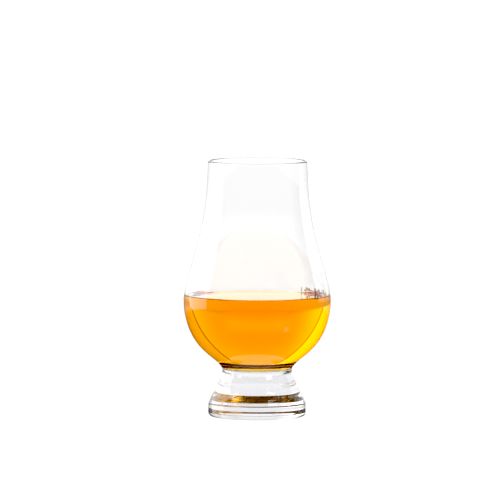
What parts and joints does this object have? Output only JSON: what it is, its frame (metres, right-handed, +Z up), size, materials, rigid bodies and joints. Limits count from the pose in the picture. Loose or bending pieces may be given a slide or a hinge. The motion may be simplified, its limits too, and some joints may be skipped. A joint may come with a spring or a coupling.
{
  "type": "glass of neat whisky",
  "caption": "Tulip-shaped nosing glass on a short heavy foot, filled to its widest part with clear amber whisky, for sipping and smelling.",
  "frame": {"origin": "middle of the ring that the foot stands on, on the table", "axes": "+Z up along the axis of revolution, towards the mouth"},
  "size_m": [0.0662, 0.0662, 0.115],
  "materials": {
    "clear_glass": "fire-polished clear crystal glass, smooth and colourless",
    "amber_spirit": "clear amber liquid, glossy surface, darker where it is deeper"
  },
  "bodies": {
    "root": {"glass": "clear_glass", "whisky": "amber_spirit"}
  },
  "joints": []
}
